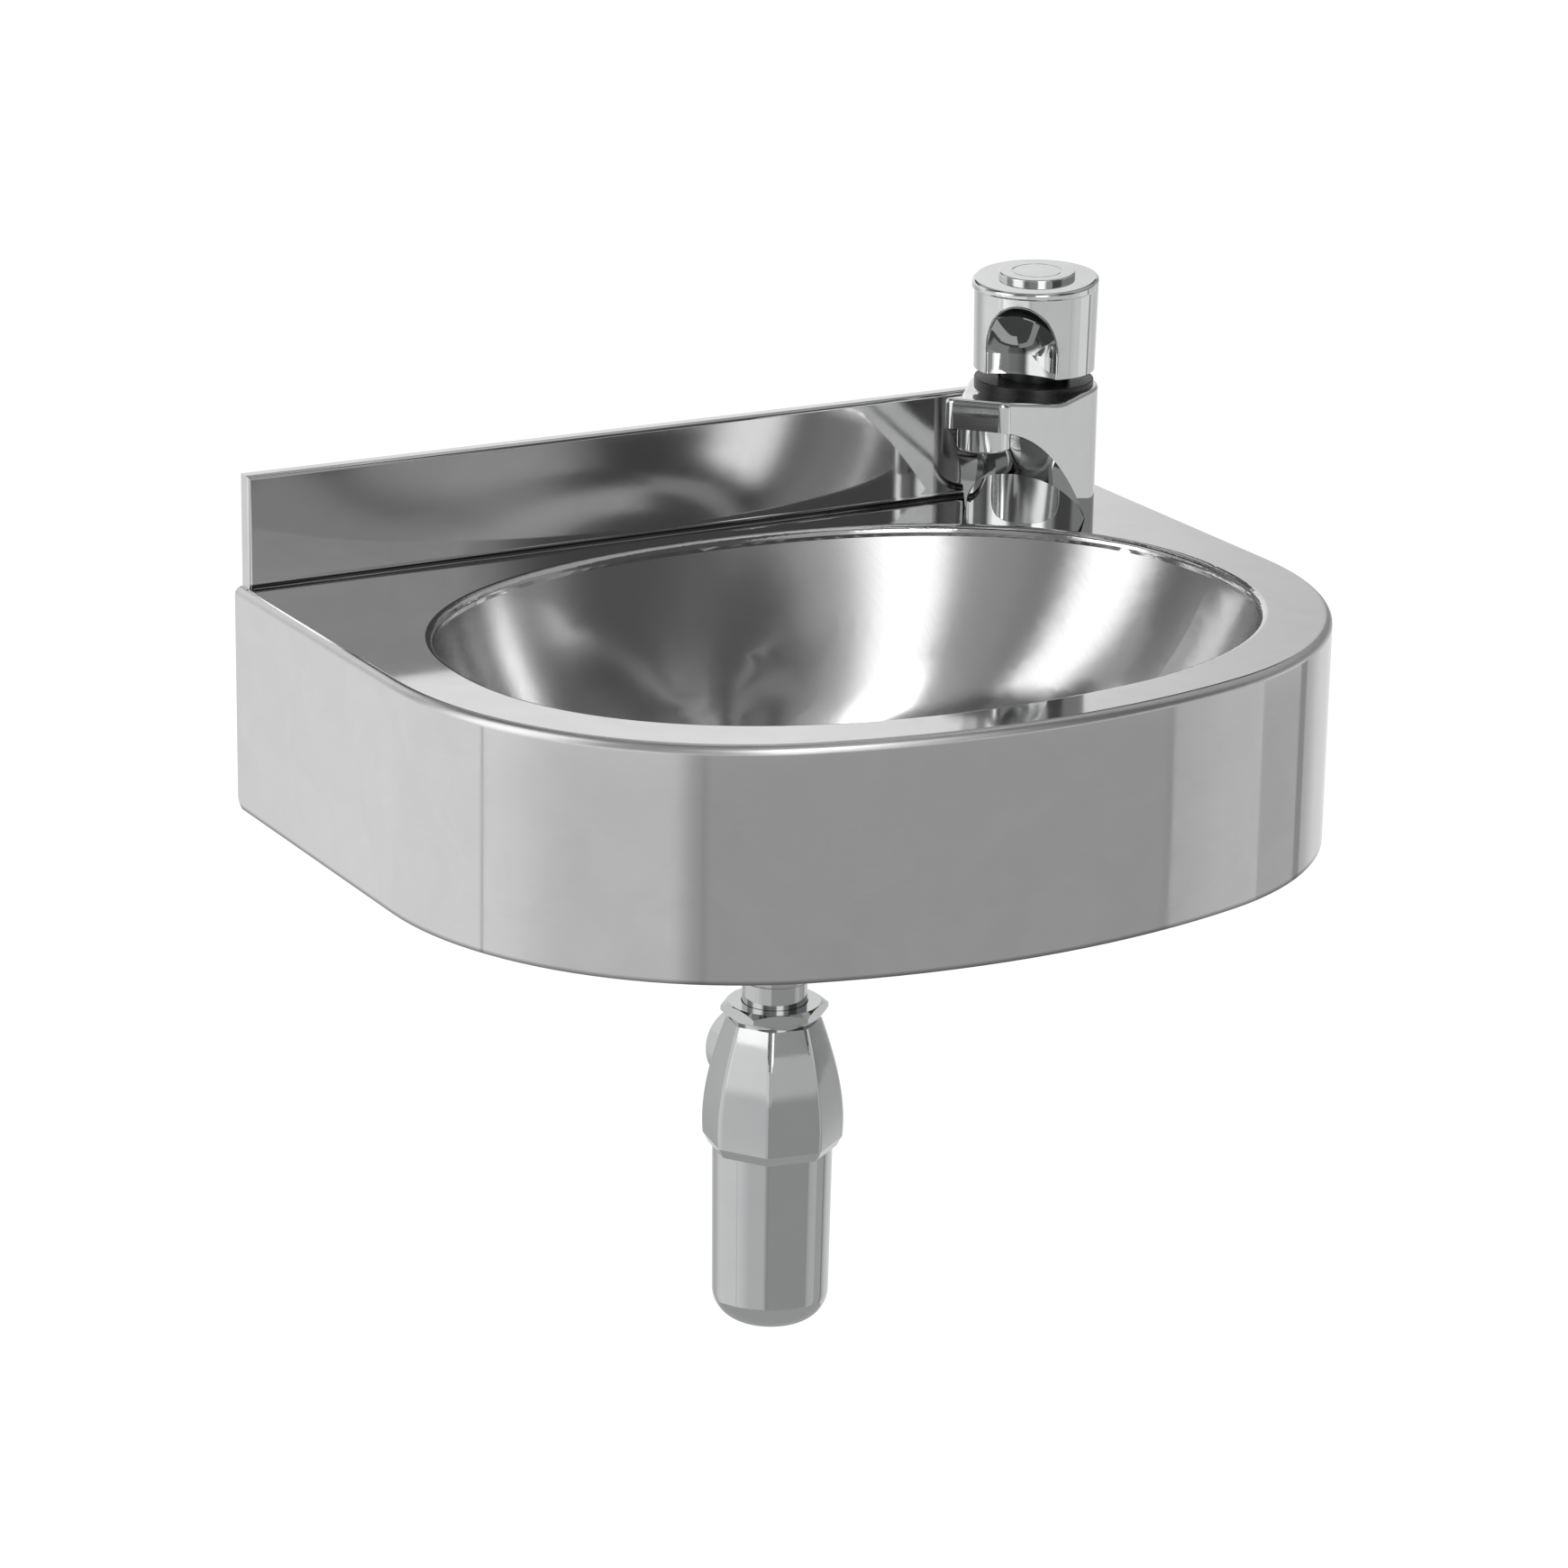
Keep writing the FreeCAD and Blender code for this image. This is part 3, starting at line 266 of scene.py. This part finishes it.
def makeSpring(spec):
    low, high = (Vector(corner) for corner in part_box("return_spring"))
    middle = (low + high) / 2
    wire = spec["wireRadius"] * mm
    steps = spec["turns"] * spec["stepsPerTurn"]
    bm = bmesh.new()
    bmesh.ops.create_circle(bm, segments=spec["sides"], radius=wire)
    bmesh.ops.rotate(bm, verts=bm.verts, cent=(0, 0, 0), matrix=Matrix.Rotation(math.pi / 2, 3, "X"))
    bmesh.ops.translate(bm, verts=bm.verts, vec=(middle.x + spec["coilRadius"] * mm, middle.y, low.z + wire))
    bmesh.ops.spin(bm, geom=bm.verts[:] + bm.edges[:], cent=(middle.x, middle.y, 0), axis=(0, 0, 1),
                   dvec=(0, 0, (high.z - low.z - 2 * wire) / steps), angle=2 * math.pi * spec["turns"], steps=steps,
                   use_merge=False)
    bmesh.ops.holes_fill(bm, edges=[edge for edge in bm.edges if edge.is_boundary], sides=0)
    bmesh.ops.recalc_face_normals(bm, faces=bm.faces)
    for face in bm.faces:
        face.smooth = True
    mesh = bpy.data.meshes.new("springCoil")
    bm.to_mesh(mesh)
    bm.free()
    mesh.materials.append(bpy.data.materials["drawnSteel"])
    coil = bpy.data.objects.new("springCoil", mesh)
    scene.collection.objects.link(coil)
    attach(coil, "basin")
    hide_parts("return_spring")
    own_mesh(coil)


makeSpring(spring)
print("spring in")

# camera at the photograph's viewing angle
view = {"place": (-1.2174, -2.2697, 0.7681), "turn": -29.44, "down": 18.003, "roll": 0.973,
        "lens": 124.75, "sensor": 36, "far": 100}
cameraData = bpy.data.cameras.new("camera")
cameraData.lens = view["lens"]
cameraData.sensor_width = view["sensor"]
cameraData.clip_end = view["far"]
camera = bpy.data.objects.new("camera", cameraData)
scene.collection.objects.link(camera)
camera.matrix_world = (Matrix.Translation(view["place"]) @ Matrix.Rotation(math.radians(view["turn"]), 4, "Z")
                       @ Matrix.Rotation(math.radians(90 - view["down"]), 4, "X")
                       @ Matrix.Rotation(math.radians(view["roll"]), 4, "Z"))
scene.camera = camera
print("camera set")

studio = {"floor": -1.9, "floorSize": 40, "floorColour": "#f2f2f2", "floorGlow": 0.6, "worldLight": 0.5}


def seenDirectly(tree):  # 1 for the camera and for what metal and glass show
    path = addNode(tree, "ShaderNodeLightPath")
    mirrored = addNode(tree, "ShaderNodeMath", {"operation": "MAXIMUM"},
                       links={0: path.outputs["Is Camera Ray"], 1: path.outputs["Is Glossy Ray"]})
    return addNode(tree, "ShaderNodeMath", {"operation": "MAXIMUM"},
                   links={0: mirrored.outputs["Value"], 1: path.outputs["Is Transmission Ray"]}).outputs["Value"]


def showStage(bm, name, material):
    mesh = bpy.data.meshes.new(name)
    bm.to_mesh(mesh)
    bm.free()
    mesh.materials.append(material)
    piece = bpy.data.objects.new(name, mesh)
    scene.collection.objects.link(piece)
    return piece


def makeFloor():  # pale floor that shows white and keeps shadows
    bm = bmesh.new()
    bmesh.ops.create_grid(bm, x_segments=1, y_segments=1, size=studio["floorSize"] / 2)
    bmesh.ops.translate(bm, verts=bm.verts, vec=(0, 0, studio["floor"]))
    material, tree = newMaterial("paleFloor")
    glow = addNode(tree, "ShaderNodeMath", {"operation": "MULTIPLY"}, {1: studio["floorGlow"]}, {0: seenDirectly(tree)})
    lit = addNode(tree, "ShaderNodeBsdfDiffuse", inputs={"Color": linear(studio["floorColour"])})
    bright = addNode(tree, "ShaderNodeEmission", links={"Strength": glow.outputs["Value"]})
    both = addNode(tree, "ShaderNodeAddShader", links={0: lit.outputs["BSDF"], 1: bright.outputs["Emission"]})
    addNode(tree, "ShaderNodeOutputMaterial", links={"Surface": both.outputs["Shader"]})
    showStage(bm, "floor", material)


def makeWorld():
    world = bpy.data.worlds.new("studio")
    scene.world = world
    world.use_nodes = True
    world.cycles.sampling_method = "NONE"  # reached only by rays that get past the panels
    tree = world.node_tree
    tree.nodes.clear()
    strength = addNode(tree, "ShaderNodeMapRange", inputs={"To Min": studio["worldLight"]},
                       links={"Value": seenDirectly(tree)})  # white where it is seen, dimmer as a light
    back = addNode(tree, "ShaderNodeBackground", inputs={"Color": (1, 1, 1, 1)},
                   links={"Strength": strength.outputs["Result"]})
    addNode(tree, "ShaderNodeOutputWorld", links={"Surface": back.outputs["Background"]})


# grey cards and softboxes stand round the basin on one ball, seen only in the metal
tent = {"centre": (0, -0.17, 0), "radius": 1.2, "step": 3, "setBack": {"topCanopy": 0.05},
        "lowCard": -0.84, "lowCardGrey": 0.5, "lowCardSides": 64}
# degrees: azimuth from, to; height from, to. Then brightness and width of the first side, brightness of the middle,
# width and brightness of the last side, and a fade upwards: factor, height from, to
panels = {
    "rearLeftCard": (95, 167.2, -46, 2, 0.55, 30, 0.92, 1, 0.92, None),
    "leftJoint": (167.2, 168.2, -46, 2, 0.60, 0.2, 0.60, 0.2, 0.60, None),
    "leftCard": (168.2, 232, -46, 2, 0.91, 31, 0.70, 9, 0.42, (1.38, -13, -8)),
    "frontCard": (232, 318, -46, 2, 0.37, 3, 0.43, 2, 0.37, (1.55, -13, -8)),
    "rightCard": (318, 340, -46, 2, 0.58, 12, 0.67, 4, 0.69, (1.1, -13, -8)),
    "farRightCard": (340, 361, -46, 2, 0.53, 4, 0.53, 2, 0.53, (1.66, -13, -8)),
    "rightJoint": (361, 365.5, -46, 2, 0.34, 0.5, 0.34, 0.5, 0.34, None),
    "rearRightCard": (365.5, 395, -46, -10.5, 0.55, 14, 0.80, 4, 0.84, None),
    "tapSideCard": (365.5, 395, -10.5, 2, 0.77, 12, 0.66, 4, 0.66, None),
    "backLowCard": (35, 95, -46, -2, 0.84, 20, 0.75, 20, 0.60, None),
    "backCard": (35, 95, -2, 25.5, 0.60, 28, 1.0, 24, 0.85, None),
    "backCanopy": (35, 100, 25.5, 54, 0.03, 20, 0.12, 20, 0.06, (5.0, 31, 39)),
    "backTop": (35, 100, 54, 64, 0.30, 14, 0.45, 35, 0.04, None),
    "rearTop": (100, 150, 40, 59, 0.10, 4, 0.08, 6, 0.12, None),
    "rearCanopy": (128, 150, 2, 40, 0.55, 4, 0.42, 4, 0.50, None),
    "leftStrip": (150, 203, 2, 59, 0.50, 13, 1.75, 16, 0.20, (0.12, 46, 54)),
    "leftCanopy": (203, 244.5, 2, 59, 0.20, 23, 0.36, 8, 0.42, (0.5, 46, 54)),
    "frontStrip": (244.5, 278, 2, 44, 0.45, 6, 1.9, 13, 0.46, (2.3, 26, 34)),
    "frontTop": (244.5, 297, 44, 60, 0.38, 4, 0.38, 6, 0.20, None),
    "frontUpperCard": (278, 297, 19.5, 44, 0.46, 2, 0.48, 3, 0.12, None),
    "frontLowerCard": (278, 297, 2, 19.5, 0.46, 2, 0.42, 13, 0.12, None),
    "frontCanopy": (297, 326, 2, 60, 0.10, 4, 0.10, 3, 0.16, None),
    "rightCanopy": (326, 395, 2, 26, 0.16, 6, 0.32, 20, 0.32, None),
    "rightTop": (326, 395, 26, 64, 0.20, 6, 0.46, 10, 0.40, None),
    "overheadBox": (125, 215, 59, 66, 0.45, 1, 0.45, 10, 0.3, None),
    "overheadCard": (215, 485, 64, 76, 0.65, 1, 0.65, 1, 0.65, None),
    "topCanopy": (0, 360, 50, 90, 0.10, 1, 0.10, 1, 0.10, None),
}


def hidePanel(panel):  # panels only show in reflections and throw no shadows
    panel.data.materials[0].cycles.emission_sampling = "NONE"
    panel.visible_camera = panel.visible_diffuse = panel.visible_shadow = False


def makePanel(name, azimuthFrom, azimuthTo, heightFrom, heightTo, first, firstWidth, middle, lastWidth, last, fade):
    bm = bmesh.new()
    radius = tent["radius"] + tent["setBack"].get(name, 0)
    start = math.radians(heightFrom)
    foot = bm.verts.new((radius * math.cos(start), 0, radius * math.sin(start)))
    rows = max(1, round((heightTo - heightFrom) / tent["step"]))
    bmesh.ops.spin(bm, geom=[foot], cent=(0, 0, 0), axis=(0, -1, 0), steps=rows,
                   angle=math.radians(heightTo - heightFrom), use_merge=False)
    bmesh.ops.rotate(bm, verts=bm.verts, cent=(0, 0, 0), matrix=Matrix.Rotation(math.radians(azimuthFrom), 3, "Z"))
    width = math.radians(azimuthTo - azimuthFrom)
    columns = max(1, round((azimuthTo - azimuthFrom) / tent["step"]))
    bmesh.ops.spin(bm, geom=bm.verts[:] + bm.edges[:], cent=(0, 0, 0), axis=(0, 0, 1), steps=columns, angle=width,
                   use_merge=False)
    bmesh.ops.translate(bm, verts=bm.verts, vec=tent["centre"])
    material, tree = newMaterial(name)
    place = addNode(tree, "ShaderNodeTexCoord").outputs["Object"]
    turned = addNode(tree, "ShaderNodeMapping", {"vector_type": "TEXTURE"},
                     {"Location": tent["centre"], "Rotation": (0, 0, math.radians(azimuthFrom) + width / 2)},
                     {"Vector": place})
    parts = addNode(tree, "ShaderNodeSeparateXYZ", links={"Vector": turned.outputs["Vector"]})
    angle = addNode(tree, "ShaderNodeMath", {"operation": "ARCTAN2"},
                    links={0: parts.outputs["Y"], 1: parts.outputs["X"]})  # 0 at the panel's middle
    rise = addNode(tree, "ShaderNodeMapRange", {"interpolation_type": "SMOOTHSTEP"},
                   {"From Min": -width / 2, "From Max": math.radians(firstWidth) - width / 2,
                    "To Min": first, "To Max": middle}, {"Value": angle.outputs["Value"]})
    fall = addNode(tree, "ShaderNodeMapRange", {"interpolation_type": "SMOOTHSTEP"},
                   {"From Min": width / 2 - math.radians(lastWidth), "From Max": width / 2,
                    "To Max": last - middle}, {"Value": angle.outputs["Value"]})
    whole = addNode(tree, "ShaderNodeMath", {"operation": "ADD"},
                    links={0: rise.outputs["Result"], 1: fall.outputs["Result"]})
    if fade:
        factor, fadeFrom, fadeTo = fade
        above = addNode(tree, "ShaderNodeMapRange", {"interpolation_type": "SMOOTHSTEP"},
                        {"From Min": radius * math.sin(math.radians(fadeFrom)),
                         "From Max": radius * math.sin(math.radians(fadeTo)), "To Min": 1.0, "To Max": factor},
                        {"Value": parts.outputs["Z"]})
        whole = addNode(tree, "ShaderNodeMath", {"operation": "MULTIPLY"},
                        links={0: whole.outputs["Value"], 1: above.outputs["Result"]})
    glow = addNode(tree, "ShaderNodeEmission", links={"Strength": whole.outputs["Value"]})
    addNode(tree, "ShaderNodeOutputMaterial", links={"Surface": glow.outputs["Emission"]})
    hidePanel(showStage(bm, name, material))


def makeLowCard():  # level grey card below the trap
    bm = bmesh.new()
    bmesh.ops.create_circle(bm, cap_ends=True, segments=tent["lowCardSides"], radius=tent["radius"])
    bmesh.ops.translate(bm, verts=bm.verts, vec=Vector(tent["centre"]) + Vector((0, 0, tent["lowCard"])))
    material, tree = newMaterial("lowCard")
    glow = addNode(tree, "ShaderNodeEmission", inputs={"Strength": tent["lowCardGrey"]})
    addNode(tree, "ShaderNodeOutputMaterial", links={"Surface": glow.outputs["Emission"]})
    hidePanel(showStage(bm, "lowCard", material))


makeFloor()
makeWorld()
makeLowCard()
for name, spec in panels.items():
    makePanel(name, *spec)
print("studio up")

lamps = {  # place and size in metres, watts: soft light for the dull pieces
    "lampFront": ((-0.4, -1.8, 1.8), (1.0, 0.7), 18),
    "lampRight": ((1.5, -0.7, 1.5), (0.8, 0.8), 14),
}
for name, (place, size, power) in lamps.items():
    data = bpy.data.lights.new(name, "AREA")
    data.shape = "RECTANGLE"
    data.size, data.size_y = size
    data.energy = power
    lamp = bpy.data.objects.new(name, data)
    lamp.location = place
    lamp.rotation_euler = (Vector(tent["centre"]) - Vector(place)).to_track_quat("-Z", "Y").to_euler()
    lamp.visible_camera = lamp.visible_glossy = False
    scene.collection.objects.link(lamp)
print("lamps lit")

scene.view_settings.view_transform = "Standard"
